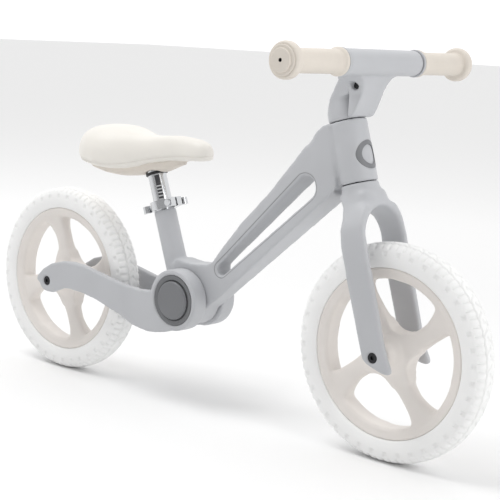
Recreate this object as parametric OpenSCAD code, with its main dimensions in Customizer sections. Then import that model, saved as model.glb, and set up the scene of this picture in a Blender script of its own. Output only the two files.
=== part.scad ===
// Child's folding balance bike: two cast wheels, a cast frame, folding rear arms and a T-bar.
// +X is forward, +Y the rider's left, +Z up. The origin is on the ground, midway between the axles.

/* [Wheels] */
// Outside diameter of both tyres
tyre_d = 290; // [250:1:320]
// Width of both tyres
tyre_w = 41; // [30:1:55]
// Distance between the two axles
wheelbase = 625; // [560:1:700]
// Diameter where the tyre meets the rim
rim_d = 226; // [190:1:240]
// Spokes in each wheel
spokes = 4; // [3:1:6]
// Turn of the front wheel's spokes from level
front_phase = 40; // [0:1:90]
// Turn of the rear wheel's spokes from level
rear_phase = 22; // [0:1:90]
// Blocks round each tyre shoulder
lugs = 40; // [20:1:60]

/* [Steering] */
// Lean of the steering axis from upright
rake_angle = 17.5; // [10:0.5:25]
// Distance of the steering axis behind the front axle
fork_offset = 3; // [0:0.5:20]
// Radius of the head tube
head_r = 25; // [20:0.5:30]
// Steering stop, either way
steer_max = 50; // [30:5:60]
// Handlebar length over the end caps
bar_w = 400; // [340:2:460]
// Grip diameter
grip_d = 30.5; // [26:0.5:34]

/* [Hinge and rear arms] */
// Height of the folding hinge
hinge_z = 158; // [140:1:180]
// Forward position of the folding hinge
hinge_x = -45; // [-80:1:0]
// Radius of the hinge bosses
boss_r = 45; // [38:0.5:50]
// Outside of each hinge boss from the middle plane
boss_y = 44; // [38:0.5:52]
// Travel of each fold button
button_travel = 3; // [2:0.5:5]

/* [Seat] */
// Lean of the seat tube from upright
seat_angle = 20.5; // [10:0.5:30]
// Seat post diameter
post_d = 28; // [26:0.2:29]
// Saddle length
saddle_l = 248; // [200:2:270]
// Saddle width at the back
saddle_w = 130; // [100:2:150]

/* [Hidden] */
$fn = 64;

wheel_r = tyre_d / 2;
rim_r = rim_d / 2;
axle_x = wheelbase / 2;
axle_r = 5;
bearing_r = 11;
bearing_w = 6;
hub_half = 33;
bearing_in = hub_half - bearing_w - 1;
shaft_gap = 0.05;
face_gap = 0.3;
window_r = rim_r - 15;

steer_t_low = 224.5;
steer_t_high = 308.2;
steerer_r = 14.3;
headset_r = 20;
headset_h = 7;
bar_s = 61;
bar_t = 370;
sleeve_r = 17;
sleeve_half = 80;
collar_w = 5;
tube_r = 11.1;
grip_start = sleeve_half + collar_w;
grip_flange = bar_w / 2 - 16;

blade_in = 40;
blade_out = 49.5;
crown_r = 51.5;
arch_t = 150;
crown_sweep = 34;
stop_r = 22.1;
arm_in = 39.5;
arm_out = 51;
bolt_head_r = 7;
bolt_head_h = 4;
bolt_sink = 2;
screw_floor = 20.5;

knuckle_y = 17;
axle_hinge_r = 12;
cover_r = 37;
cover_t = 4;
button_r = 28.3;
button_rise = button_travel + 0.5;
button_t = 7;

tube_seat_r = 16.5;
seat_x0 = -106;
seat_z0 = 273;
collar_low = 7.5;
collar_h = 13.5;
collar_r = 19.5;
post_low = -58;
post_high = 72;
bore_low = -100;
scale_half = 3.5;
scale_floor = post_d / 2 - 0.65;
scale_t = 0.2;
scale_turn = 50;
gasket_low = 61;
gasket_r = 16.5;
cam_x = 21;
cam_y = 21.5;
lever_r = 28.5;
lever_t = 4.5;
lever_end = 186;
badge_t = 259;
badge_r = 19;
badge_hole = 13;
badge_depth = 1;
groove_depth = 1.2;
window_edge = [[115, -33.5], [88, -38], [68, -41.5], [47, -39], [35, -26], [32, -10], [35, 4],
  [63, 24.5], [90, 30], [115, 31]];
bridge_points = [[-148, 134], [-106, 116]];

// Turns and moves children from the steering frame (x forward of, z along the axis) to the bike
module steer() {
  translate([axle_x, 0, wheel_r])
    rotate([0, -rake_angle, 0])
      children();
}

// The steering axis itself
module steer_axis(t) {
  steer()
    translate([-fork_offset, 0, t])
      children();
}

// The seat tube's axis, with z = 0 at the tube's reference point
module seat_axis(t) {
  translate([seat_x0, 0, seat_z0])
    rotate([0, -seat_angle, 0])
      translate([0, 0, t])
        children();
}

// Extrudes a side outline (x forward, y up) between two values of Y
module side(y0, y1) {
  translate([0, y1, 0])
    rotate([90, 0, 0])
      linear_extrude(y1 - y0)
        children();
}

module rod_y(r, y0, y1) {
  translate([0, y0, 0])
    rotate([-90, 0, 0])
      cylinder(r = r, h = y1 - y0);
}

module at_hinge() {
  translate([hinge_x, 0, hinge_z])
    children();
}

// Outline round two circles and their outer tangents
module belt(p, rp, q, rq) {
  d = q - p;
  a = atan2(d[1], d[0]);
  b = acos((rp - rq) / norm(d));
  translate(p)
    circle(r = rp);
  translate(q)
    circle(r = rq);
  polygon([
    p + rp * [cos(a + b), sin(a + b)],
    p + rp * [cos(a - b), sin(a - b)],
    q + rq * [cos(a - b), sin(a - b)],
    q + rq * [cos(a + b), sin(a + b)]
  ]);
}

// ---------------------------------------------------------------- wheels

module wheel_window() {
  intersection() {
    circle(r = window_r);
    polygon([for (p = window_edge) p[0] * [cos(p[1]), sin(p[1])]]);
  }
}

// Half section of the wheel casting: radius, then distance from the middle plane
module rim_profile(s) {
  polygon([[bearing_r, 0], [bearing_r, s * hub_half], [14, s * hub_half], [17, s * (hub_half - 4)],
    [20, s * 22], [28, s * 14], [45, s * 10], [80, s * 9], [window_r + 2, s * 13],
    [window_r + 4, s * 15], [rim_r - 5, s * 15.5], [rim_r - 4, s * 17], [rim_r, s * 17],
    [rim_r, 0]]);
}

module rim_body(phase) {
  rotate([90, 0, 0])
    difference() {
      rotate_extrude($fn = 96) {
        rim_profile(1);
        rim_profile(-1);
      }
      for (k = [0:spokes - 1])
        rotate([0, 0, phase + (k + 0.5) * 360 / spokes])
          translate([0, 0, -hub_half])
            linear_extrude(2 * hub_half)
              wheel_window();
    }
}

module hub_core() {
  rod_y(bearing_r, -bearing_in, bearing_in);
}

module tyre_body() {
  difference() {
    rotate([90, 0, 0])
      rotate_extrude($fn = 96)
        polygon([[rim_r, -16.8], [rim_r + 4, -19], [rim_r + 14, -tyre_w / 2],
          [wheel_r - 10, -tyre_w / 2 + 1], [wheel_r - 3.5, -tyre_w / 2 + 5.5], [wheel_r - 0.6, -9],
          [wheel_r, 0], [wheel_r - 0.6, 9], [wheel_r - 3.5, tyre_w / 2 - 5.5],
          [wheel_r - 10, tyre_w / 2 - 1], [rim_r + 14, tyre_w / 2], [rim_r + 4, 19],
          [rim_r, 16.8]]);
    for (k = [0:lugs - 1], m = [-1, 1])
      rotate([0, (k + 0.25 * m) * 360 / lugs, 0])
        translate([-2, m > 0 ? tyre_w / 2 - 6 : -tyre_w / 2 - 2, wheel_r - 5])
          cube([4, 8, 10]);
  }
}

module bearing_pair() {
  for (m = [0, 1])
    mirror([0, m, 0])
      difference() {
        rod_y(bearing_r, bearing_in, bearing_in + bearing_w);
        rod_y(axle_r + shaft_gap, bearing_in - 1, hub_half + 1);
      }
}

module axle_body(reach) {
  difference() {
    rod_y(axle_r, -reach, reach);
    rod_y(3, -reach - 1, reach + 1);
  }
}

module bolt_pair(face) {
  for (m = [0, 1])
    mirror([0, m, 0])
      difference() {
        union() {
          rod_y(bolt_head_r, face - bolt_head_h, face);
          rod_y(3, 20, face - bolt_head_h);
        }
        translate([0, face - 2.5, 0])
          rotate([-90, 0, 0])
            cylinder(r = 2.9, h = 4, $fn = 6);
      }
}

module spacer_pair(inside, outside) {
  for (m = [0, 1])
    mirror([0, m, 0])
      difference() {
        rod_y(8, inside, outside);
        rod_y(axle_r, inside - 1, outside + 1);
      }
}

// ---------------------------------------------------------------- main frame

module frame_outline() {
  difference() {
    union() {
      polygon([[hinge_x + 5, 126], [-8, 146], [19, 168], [186, 316], [206, 334], [222, 350],
        [205, 438], [193, 430], [183, 421], [158, 392], [103, 329], [54, 281], [22, 243],
        [4, 219], [-6, 214], [-38, 211], [-66, 214], [-84, 190]]);
      translate([hinge_x, hinge_z])
        circle(r = 40);
    }
    translate([-38, 236])
      circle(r = 24.5);
  }
}

module slot_outline(inset) {
  belt([22, 211], 12 - inset, [171, 346], 20 - inset);
}

module frame_plan(inset) {
  h = head_r - inset;
  k = knuckle_y - inset;
  polygon([[-130, -k], [30, -k], [190, -h], [280, -h], [280, h], [190, h], [30, k], [-130, k]]);
}

module main_frame() {
  color("silver")
    difference() {
      union() {
        intersection() {
          side(-30, 30)
            frame_outline();
          linear_extrude(500)
            frame_plan(0);
          steer()
            translate([-500 - fork_offset, -40, -100])
              cube([500, 80, 100 + steer_t_high]);
        }
        steer_axis(steer_t_low + 0.4)
          cylinder(r = head_r, h = steer_t_high - steer_t_low - 0.4);
        seat_axis(-104)
          cylinder(r1 = tube_seat_r + 0.4, r2 = tube_seat_r, h = 104 + collar_low);
      }
      difference() {
        side(-40, 40)
          slot_outline(0);
        linear_extrude(500)
          frame_plan(groove_depth);
      }
      side(-40, 40)
        slot_outline(4);
      steer_axis(0)
        cylinder(r = 17, h = 400);
      steer_axis(0)
        cylinder(r = headset_r, h = steer_t_low + 0.4 + headset_h);
      steer_axis(steer_t_high - headset_h)
        cylinder(r = headset_r, h = 50);
      fork_sweep();
      stop_groove();
      seat_axis(bore_low)
        cylinder(r = post_d / 2 + 0.05, h = 200);
      seat_axis(-22)
        translate([-40, -1.25, 0])
          cube([30, 2.5, 60]);
      at_hinge()
        rod_y(axle_hinge_r + 2, -30, 30);
      head_skin(badge_r, 5);
    }
}

// Space that the turning fork crown needs behind and under the head
module fork_sweep() {
  steer_axis(steer_t_low - 60)
    cylinder(r = crown_sweep, h = 60.4);
}

module stop_groove() {
  steer_axis(steer_t_low - 1)
    rotate([0, 0, 180 - steer_max - 8])
      rotate_extrude(angle = 2 * steer_max + 16)
        translate([stop_r - 1.5, 0])
          square([3, 6.5]);
}

// Skin of the head tube inside a round outline on its front
module head_skin(r, proud) {
  intersection() {
    steer_axis(badge_t)
      rotate([0, 90, 0])
        cylinder(r = r, h = head_r + 10);
    steer_axis(badge_t - 40)
      difference() {
        cylinder(r = head_r + proud, h = 80);
        translate([0, 0, -1])
          cylinder(r = head_r - badge_depth, h = 82);
      }
  }
}

module head_badge() {
  color("gray")
    difference() {
      head_skin(badge_r, 0.3);
      head_skin(badge_hole, 1);
    }
}

module headset_ring() {
  difference() {
    cylinder(r = headset_r, h = headset_h);
    translate([0, 0, -1])
      cylinder(r = steerer_r + shaft_gap, h = headset_h + 2);
  }
}

module headset_upper() {
  color("dimgray")
    steer_axis(steer_t_high - headset_h)
      headset_ring();
}

module headset_lower() {
  color("dimgray")
    steer_axis(steer_t_low + 0.4)
      headset_ring();
}

module hinge_axle() {
  color("gray")
    at_hinge()
      difference() {
        rod_y(axle_hinge_r, -34, 34);
        rod_y(4, -40, 40);
      }
}

module hinge_bushes() {
  color("dimgray")
    at_hinge()
      difference() {
        rod_y(axle_hinge_r + 2, -knuckle_y, knuckle_y);
        rod_y(axle_hinge_r, -30, 30);
      }
}

// ---------------------------------------------------------------- rear arms

module arm_outline() {
  translate([-axle_x, wheel_r])
    circle(r = 17);
  polygon([[-335, 150], [-322, 163], [-303, 174], [-278, 181], [-255, 183], [-232, 181],
    [-200, 175], [-175, 170], [-147, 165], [-113, 163], [-84, 166], [hinge_x, 180],
    [hinge_x, 113], [-60, 108], [-80, 104], [-94, 103], [-110, 104.5], [-126, 108],
    [-151, 118], [-179, 126], [-204, 133], [-231, 138], [-263, 140], [-274, 139],
    [-288, 133], [-299, 128], [-311, 127.5], [-322, 134], [-336, 144]]);
}

module arm_plan() {
  polygon([[-345, arm_in], [-290, arm_in], [-160, 34], [-100, 33], [-20, 33], [-20, boss_y],
    [-85, boss_y], [-290, arm_out - 0.5], [-345, arm_out]]);
}

module arm_body() {
  difference() {
    union() {
      intersection() {
        side(20, 60)
          arm_outline();
        linear_extrude(300)
          arm_plan();
      }
      at_hinge()
        rod_y(boss_r, knuckle_y + face_gap, boss_y);
      translate([-axle_x, 0, wheel_r])
        rod_y(11, arm_in - 1.5, arm_in + 1);
    }
    at_hinge()
      rod_y(axle_hinge_r + shaft_gap, 0, 34.5);
    at_hinge()
      rod_y(cover_r + 0.3, boss_y - cover_t - 1, 60);
    at_hinge()
      rod_y(button_r + 0.3, 34.4, 60);
    translate([-axle_x, 0, wheel_r])
      rod_y(axle_r, 0, arm_out - bolt_sink - bolt_head_h);
    translate([-axle_x, 0, wheel_r])
      rod_y(bolt_head_r + 0.4, arm_out - bolt_sink - bolt_head_h, 80);
    for (p = bridge_points)
      translate([p[0], 0, p[1]])
        rod_y(2.5, 0, 38);
  }
}

module arm_left() {
  color("silver")
    arm_body();
}

module arm_right() {
  color("silver")
    mirror([0, 1, 0])
      arm_body();
}

module arm_bridge() {
  color("silver")
    difference() {
      intersection() {
        side(-36, 36)
          difference() {
            polygon([[-90, 146], [-159, 146], [-161, 132], [-150, 119], [-126, 109],
              [-100, 105], [-80, 126]]);
            translate([hinge_x, hinge_z])
              circle(r = 46);
          }
        linear_extrude(300)
          polygon([[-175, -34.6], [-160, -34], [-100, -33], [-20, -33], [-20, 33],
            [-100, 33], [-160, 34], [-175, 34.6]]);
      }
      for (p = bridge_points)
        translate([p[0], 0, p[1]])
          rod_y(2.5, -50, 50);
    }
}

module bridge_screws() {
  color("dimgray")
    for (p = bridge_points, m = [0, 1])
      mirror([0, m, 0])
        translate([p[0], 0, p[1]])
          rod_y(2.5, 16, 37.8);
}

module cover_body() {
  at_hinge()
    difference() {
      rod_y(cover_r, boss_y - cover_t - 1, boss_y - 1);
      rod_y(button_r + 0.3, 30, 60);
    }
}

module hinge_cover_left() {
  color("dimgray")
    cover_body();
}

module hinge_cover_right() {
  color("dimgray")
    mirror([0, 1, 0])
      cover_body();
}

module button_body() {
  at_hinge() {
    rod_y(button_r, boss_y - 1 + button_rise - button_t, boss_y - 1.5 + button_rise);
    rod_y(button_r - 1.5, boss_y - 1.5 + button_rise, boss_y - 0.5 + button_rise);
  }
}

module button_left() {
  color("gray")
    button_body();
}

module button_right() {
  color("gray")
    mirror([0, 1, 0])
      button_body();
}

// ---------------------------------------------------------------- rear wheel

module at_rear() {
  translate([-axle_x, 0, wheel_r])
    children();
}

module rear_rim() {
  color("linen")
    at_rear() {
      rim_body(rear_phase);
      hub_sleeve();
    }
}

// Inside wall of the hub between the two bearings
module hub_sleeve() {
  difference() {
    hub_core();
    rod_y(axle_r + 1.5, -hub_half, hub_half);
  }
}

module rear_tyre() {
  color("white")
    at_rear()
      tyre_body();
}

module rear_bearings() {
  color("gray")
    at_rear()
      bearing_pair();
}

module rear_axle() {
  color("gray")
    at_rear()
      axle_body(arm_out - bolt_sink - bolt_head_h);
}

module rear_bolts() {
  color("black")
    at_rear()
      bolt_pair(arm_out - bolt_sink);
}

module rear_spacers() {
  color("dimgray")
    at_rear()
      spacer_pair(hub_half + face_gap, arm_in - 1.5);
}

// ---------------------------------------------------------------- fork and front wheel

module fork_front_view() {
  difference() {
    union() {
      polygon([[-blade_out, -30], [blade_out, -30], [crown_r, arch_t], [50, 168], [43, 181],
        [35, 193], [29, 203], [26, 213], [-26, 213], [-29, 203], [-35, 193], [-43, 181],
        [-50, 168], [-crown_r, arch_t]]);
      translate([0, arch_t])
        circle(r = crown_r);
    }
    translate([0, arch_t])
      circle(r = blade_in);
    translate([-blade_in, -40])
      square([2 * blade_in, arch_t + 40]);
  }
}

module fork_side_view() {
  polygon([[-26, 214], [22, 214], [26, 200], [28, 188], [25, 165], [23, 140], [21.5, 100],
    [20, 20], [21, -5], [24, -20], [22, -24.5], [17, -25], [10, -22], [-1, -14.5], [-11, -7],
    [-16, 0], [-16.5, 6], [-17, 140], [-16, 165], [-14, 182], [-18, 198]]);
}

module fork() {
  color("silver")
    difference() {
      union() {
        intersection() {
          steer()
            rotate([90, 0, 90])
              translate([0, 0, -40])
                linear_extrude(80)
                  fork_front_view();
          steer()
            side(-60, 60)
              fork_side_view();
        }
        steer_axis(194)
          cylinder(r = head_r, h = steer_t_low - 194);
        for (m = [0, 1])
          steer()
            mirror([0, m, 0])
              rod_y(11, blade_in - 2, blade_in + 1);
      }
      steer_axis(195)
        difference() {
          cylinder(r = 90, h = 20);
          translate([0, 0, -1])
            cylinder(r = crown_sweep - 1, h = 22);
        }
      steer_axis(198)
        cylinder(r = steerer_r, h = 60);
      steer_axis(steer_t_low - 5)
        translate([-stop_r, 0, 0])
          cylinder(r = 1.2, h = 10);
      for (m = [0, 1])
        steer()
          mirror([0, m, 0]) {
            rod_y(axle_r, 0, blade_out - bolt_sink - bolt_head_h);
            rod_y(bolt_head_r + 0.4, blade_out - bolt_sink - bolt_head_h, 80);
          }
    }
}

module steerer() {
  color("gray")
    steer_axis(198)
      difference() {
        cylinder(r = steerer_r, h = 140);
        translate([0, 0, -1])
          cylinder(r = steerer_r - 2, h = 142);
      }
}

module steering_stop() {
  color("dimgray")
    steer_axis(steer_t_low - 5)
      translate([-stop_r, 0, 0])
        cylinder(r = 1.2, h = 9.5);
}

module stem_side(part) {
  polygon(part == 0
    ? [[14, steer_t_high + 0.4], [22, steer_t_high + 0.4], [30, 316], [44, 333], [60, 356],
      [62, 372], [44, 372], [31, 362], [22, 335]]
    : [[-28, steer_t_high + 0.4], [14, steer_t_high + 0.4], [22, 335], [31, 362], [44, 372],
      [30, 384], [15, 366], [-8, 340], [-20, 323]]);
}

module stem_width() {
  polygon([[-head_r, 300], [head_r, 300], [24, 335], [27, 343], [33, 350], [42, 354], [52, 356],
    [52, 400], [-52, 400], [-52, 356], [-42, 354], [-33, 350], [-27, 343], [-24, 335]]);
}

module stem_shape(part) {
  intersection() {
    steer()
      side(-70, 70)
        stem_side(part);
    steer()
      rotate([90, 0, 90])
        translate([0, 0, -40])
          linear_extrude(140)
            stem_width();
    union() {
      steer_axis(0)
        cylinder(r = head_r, h = 345);
      steer()
        translate([-40, -24, 338])
          cube([90, 48, 52]);
      if (part == 0)
        steer()
          translate([-fork_offset, -80, 300])
            cube([100, 160, 100]);
    }
  }
}

module bar_axis() {
  steer()
    translate([bar_s, 0, bar_t])
      children();
}

module stem_front() {
  color("silver")
    difference() {
      union() {
        stem_shape(0);
        bar_axis()
          rod_y(sleeve_r, -sleeve_half, sleeve_half);
      }
      bar_axis()
        rod_y(tube_r, -100, 100);
      steer_axis(200)
        cylinder(r = steerer_r, h = 138);
      screw_recess();
    }
}

module stem_back() {
  color("silver")
    difference() {
      stem_shape(1);
      bar_axis()
        rod_y(sleeve_r, -100, 100);
      steer_axis(200)
        cylinder(r = steerer_r, h = 138);
    }
}

module screw_recess() {
  for (m = [0, 1])
    mirror([0, m, 0])
      steer()
        translate([37, 0, 346])
          rod_y(5.5, screw_floor, 60);
}

module stem_screws() {
  color("black")
    for (m = [0, 1])
      mirror([0, m, 0])
        steer()
          translate([37, 0, 346])
            rod_y(4.6, screw_floor, screw_floor + 2);
}

module bar_tube() {
  color("gray")
    bar_axis()
      difference() {
        rod_y(tube_r, -bar_w / 2 + 6, bar_w / 2 - 6);
        rod_y(tube_r - 1.5, -bar_w / 2, bar_w / 2);
      }
}

module bar_collars() {
  color("silver")
    for (m = [0, 1])
      mirror([0, m, 0])
        bar_axis()
          difference() {
            rod_y(18.5, sleeve_half, grip_start);
            rod_y(tube_r, 0, 100);
          }
}

module grip_body() {
  bar_axis()
    difference() {
      union() {
        rod_y(18.25, grip_start, grip_start + 4);
        rod_y(16.4, grip_start + 4, grip_start + 6);
        rod_y(grip_d / 2, grip_start + 4, grip_flange);
        rod_y(21, grip_flange - 2, grip_flange);
        rod_y(23, grip_flange, grip_flange + 9);
        rod_y(21.5, grip_flange + 9, grip_flange + 11);
      }
      rod_y(tube_r, 0, grip_flange + 7);
      rod_y(19, grip_flange + 7, grip_flange + 30);
    }
}

module grip_left() {
  color("linen")
    grip_body();
}

module grip_right() {
  color("linen")
    mirror([0, 1, 0])
      grip_body();
}

module grip_plugs() {
  color("linen")
    for (m = [0, 1])
      mirror([0, m, 0])
        bar_axis()
          difference() {
            union() {
              rod_y(19, grip_flange + 10, grip_flange + 13);
              rod_y(14.5, grip_flange + 13, grip_flange + 16);
            }
            rod_y(2.2, grip_flange, 300);
          }
}

module at_front() {
  translate([axle_x, 0, wheel_r])
    children();
}

module front_rim() {
  color("linen")
    at_front() {
      rim_body(front_phase);
      hub_sleeve();
    }
}

module front_tyre() {
  color("white")
    at_front()
      tyre_body();
}

module front_bearings() {
  color("gray")
    at_front()
      bearing_pair();
}

module front_axle() {
  color("gray")
    at_front()
      axle_body(blade_out - bolt_sink - bolt_head_h);
}

module front_bolts() {
  color("black")
    at_front()
      bolt_pair(blade_out - bolt_sink);
}

module front_spacers() {
  color("dimgray")
    at_front()
      spacer_pair(hub_half + face_gap, blade_in - 2);
}

// ---------------------------------------------------------------- seat

module seat_collar() {
  color("silver")
    seat_axis(collar_low)
      difference() {
        union() {
          cylinder(r = collar_r, h = collar_h);
          translate([10, -11.5, 0])
            cube([17, 23, collar_h]);
        }
        translate([0, 0, -1])
          cylinder(r = post_d / 2 + 0.05, h = 40);
        translate([0, -1.5, -1])
          cube([40, 3, 40]);
        translate([cam_x, 0, collar_h / 2])
          rod_y(2.6, -30, 30);
      }
}

module collar_bolt() {
  color("gray")
    seat_axis(collar_low + collar_h / 2)
      translate([cam_x, 0, 0]) {
        rod_y(2.55, -12, 15);
        rod_y(5.2, -15, -11.5);
      }
}

module cam_washer() {
  color("black")
    seat_axis(collar_low + collar_h / 2)
      translate([cam_x, 0, 0])
        difference() {
          rod_y(5.2, 11.5, 15);
          rod_y(2.55, 0, 30);
        }
}

module cam_lever() {
  color("silver")
    seat_axis(collar_low + 1.5)
      difference() {
        union() {
          translate([cam_x, cam_y, 0])
            cylinder(r = 6, h = collar_h - 3);
          rotate([0, 0, 46])
            rotate_extrude(angle = lever_end - 46)
              translate([lever_r, 1.5])
                square([lever_t, collar_h - 6]);
          rotate([0, 0, lever_end])
            translate([lever_r + 3.5, 0, 0])
              cylinder(r = 6.2, h = collar_h - 3);
        }
        translate([cam_x, 0, collar_h / 2 - 1.5])
          rod_y(3, -30, 17);
      }
}

module seat_post() {
  color("silver")
    difference() {
      seat_axis(post_low)
        cylinder(r = post_d / 2, h = post_high - post_low);
      seat_axis(post_low - 1)
        cylinder(r = post_d / 2 - 1.8, h = post_high - post_low + 2);
      seat_axis(post_low + 10)
        rotate([0, 0, -scale_turn])
          translate([scale_floor, -scale_half - 0.05, 0])
            cube([3, 2 * scale_half + 0.1, gasket_low - post_low - 12]);
    }
}

module post_scale() {
  color("dimgray")
    seat_axis(post_low + 10.05)
      rotate([0, 0, -scale_turn])
        translate([scale_floor, -scale_half, 0])
          cube([scale_t, 2 * scale_half, gasket_low - post_low - 12.1]);
}

// Saddle stations: part of the length from the back, part of the half width, crown height,
// edge height and depth of the base under the edge
stations = [
  [0.000, 0.277, 380, 358, 0], [0.020, 0.554, 388, 350, 3], [0.069, 0.785, 395, 343, 6],
  [0.141, 0.938, 399, 338, 9], [0.246, 1.000, 400, 335, 11], [0.343, 0.954, 397, 334, 11],
  [0.415, 0.815, 392, 336, 11], [0.488, 0.646, 388, 340, 12], [0.569, 0.492, 387, 346, 14],
  [0.657, 0.400, 389, 350, 13], [0.754, 0.354, 392, 354, 6], [0.843, 0.331, 393, 356, 1],
  [0.915, 0.308, 393, 357, 0], [0.964, 0.262, 390, 358, 0], [1.000, 0.138, 383, 360, 0]
];
saddle_back = -267;
ring_n = 20;
base_n = 12;
edge_h = 6;
base_share = 0.62;

function station_x(s) = saddle_back + s[0] * saddle_l;
function station_w(s) = s[1] * saddle_w / 2;

// One cross section: a crowned top, rolled sides and a flat underside
function pad_ring(s) =
  [for (k = [0:ring_n - 1])
    let (a = 360 * k / ring_n, c = cos(a), z = sin(a))
    [station_x(s), station_w(s) * sign(c) * pow(abs(c), 0.8),
      z >= 0 ? s[3] + edge_h + (s[2] - s[3] - edge_h) * pow(z, 0.75)
        : s[3] + edge_h + edge_h * max(-1, 1.3 * z)]];

function base_ring(s) =
  [for (k = [0:base_n - 1])
    let (a = 180 + 180 * k / (base_n - 1))
    [station_x(s), base_share * station_w(s) * cos(a), s[3] + s[4] * sin(a)]];

module loft(rings) {
  n = len(rings);
  m = len(rings[0]);
  points = [for (r = rings, p = r) p];
  faces = concat(
    [[for (k = [0:m - 1]) k]],
    [[for (k = [0:m - 1]) (n - 1) * m + m - 1 - k]],
    [for (i = [0:n - 2], k = [0:m - 1]) each [
      [i * m + k, (i + 1) * m + k, (i + 1) * m + (k + 1) % m],
      [i * m + k, (i + 1) * m + (k + 1) % m, i * m + (k + 1) % m]
    ]]
  );
  polyhedron(points, faces);
}

module saddle_pad() {
  color("ivory")
    loft([for (s = stations) pad_ring(s)]);
}

module saddle_base() {
  color("linen")
    difference() {
      loft([for (s = stations) if (s[4] > 0) base_ring(s)]);
      seat_axis(0)
        cylinder(r = post_d / 2, h = post_high);
      seat_axis(0)
        cylinder(r = gasket_r, h = gasket_low + 4);
    }
}

module saddle_gasket() {
  color("dimgray")
    seat_axis(gasket_low)
      difference() {
        cylinder(r = gasket_r, h = 4);
        translate([0, 0, -1])
          cylinder(r = post_d / 2, h = 6);
      }
}

main_frame();
head_badge();
headset_upper();
headset_lower();
hinge_axle();
hinge_bushes();
arm_right();
arm_left();
arm_bridge();
bridge_screws();
hinge_cover_right();
hinge_cover_left();
button_right();
button_left();
rear_rim();
rear_tyre();
rear_bearings();
rear_axle();
rear_bolts();
rear_spacers();
fork();
steerer();
steering_stop();
stem_front();
stem_back();
stem_screws();
bar_tube();
bar_collars();
grip_right();
grip_left();
grip_plugs();
front_rim();
front_tyre();
front_bearings();
front_axle();
front_bolts();
front_spacers();
seat_collar();
collar_bolt();
cam_washer();
cam_lever();
seat_post();
post_scale();
saddle_base();
saddle_pad();
saddle_gasket();
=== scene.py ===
"""Finishes the folding balance bike: rounded castings, foam tyres, grips, saddle and hardware."""
from math import atan2, cos, hypot, pi, radians, sin

import bmesh
import bpy
from bpy.props import FloatProperty, FloatVectorProperty, IntProperty, PointerProperty
from mathutils import Matrix, Vector


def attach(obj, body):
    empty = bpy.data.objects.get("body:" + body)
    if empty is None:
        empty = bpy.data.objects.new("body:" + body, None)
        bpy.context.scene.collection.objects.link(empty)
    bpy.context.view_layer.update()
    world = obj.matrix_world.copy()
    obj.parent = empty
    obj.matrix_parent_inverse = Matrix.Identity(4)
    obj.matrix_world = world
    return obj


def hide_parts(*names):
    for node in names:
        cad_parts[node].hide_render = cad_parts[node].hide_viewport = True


bl_info = {
    "name": "Balance bike finish",
    "version": (1, 0, 0),
    "blender": (4, 5, 0),
    "location": "View3D > Sidebar > Bike",
    "description": "Rounded castings, foam tyres, grips, saddle and hardware for a balance bike",
    "category": "Object",
}

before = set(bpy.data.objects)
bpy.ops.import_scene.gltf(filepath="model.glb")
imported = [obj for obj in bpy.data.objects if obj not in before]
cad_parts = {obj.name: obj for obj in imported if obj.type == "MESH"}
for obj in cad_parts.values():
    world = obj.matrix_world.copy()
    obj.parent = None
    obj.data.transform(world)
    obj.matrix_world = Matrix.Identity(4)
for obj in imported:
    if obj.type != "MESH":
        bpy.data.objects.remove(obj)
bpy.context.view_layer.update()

# Sizes that the pieces share, in metres
RAKE = radians(17.5)
SEAT_LEAN = radians(20.5)
FRONT_AXLE = Vector((0.3125, 0.0, 0.145))
REAR_AXLE = Vector((-0.3125, 0.0, 0.145))
HINGE = Vector((-0.045, 0.0, 0.158))
SEAT_POINT = Vector((-0.106, 0.0, 0.273))
BAR_AHEAD = 0.061
BAR_UP = 0.370
BAR = Vector((
    FRONT_AXLE.x + BAR_AHEAD * cos(RAKE) - BAR_UP * sin(RAKE),
    0.0,
    FRONT_AXLE.z + BAR_AHEAD * sin(RAKE) + BAR_UP * cos(RAKE),
))

# How the CAD meshes are joined, and the angle past which a machined edge stays crisp
WELD = 1e-6
FLAT_ENOUGH = radians(0.4)
CREASE = radians(40)


# ------------------------------------------------------------------ mesh helpers

def merged_copy(*nodes):
    """One bmesh of CAD nodes' meshes, with their loose triangles joined."""
    bm = bmesh.new()
    for node in nodes:
        bm.from_mesh(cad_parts[node].data)
    bmesh.ops.remove_doubles(bm, verts=bm.verts, dist=WELD)
    return bm


def add_piece(name, bm, body, material, nodes):
    """Makes a piece from a bmesh, rides it on its body and hides the nodes it stands for."""
    mesh = bpy.data.meshes.new(name)
    bm.to_mesh(mesh)
    bm.free()
    for face in mesh.polygons:
        face.use_smooth = True
    piece = bpy.data.objects.new(name, mesh)
    bpy.context.scene.collection.objects.link(piece)
    piece.data.materials.append(material)
    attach(piece, body)
    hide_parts(*nodes)
    return piece


def voxel_shell(bm, size):
    """The same shape as an even skin of small squares."""
    mesh = bpy.data.meshes.new("shell")
    bm.to_mesh(mesh)
    bm.free()
    holder = bpy.data.objects.new("shell", mesh)
    bpy.context.scene.collection.objects.link(holder)
    remesh = holder.modifiers.new("Remesh", "REMESH")
    remesh.mode = "VOXEL"
    remesh.voxel_size = size
    remesh.use_smooth_shade = True
    bpy.context.view_layer.update()
    graph = bpy.context.evaluated_depsgraph_get()
    out = bmesh.new()
    out.from_mesh(holder.evaluated_get(graph).to_mesh())
    bpy.data.objects.remove(holder)
    bpy.data.meshes.remove(mesh)
    return out


def soften(bm, rounds, chosen=None):
    """Rounds every edge a little more with each pass, or only those in the chosen stretch."""
    verts = [v for v in bm.verts if chosen(v.co)] if chosen else bm.verts
    for _ in range(rounds):
        bmesh.ops.smooth_vert(
            bm, verts=verts, factor=0.5, use_axis_x=True, use_axis_y=True, use_axis_z=True)


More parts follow.
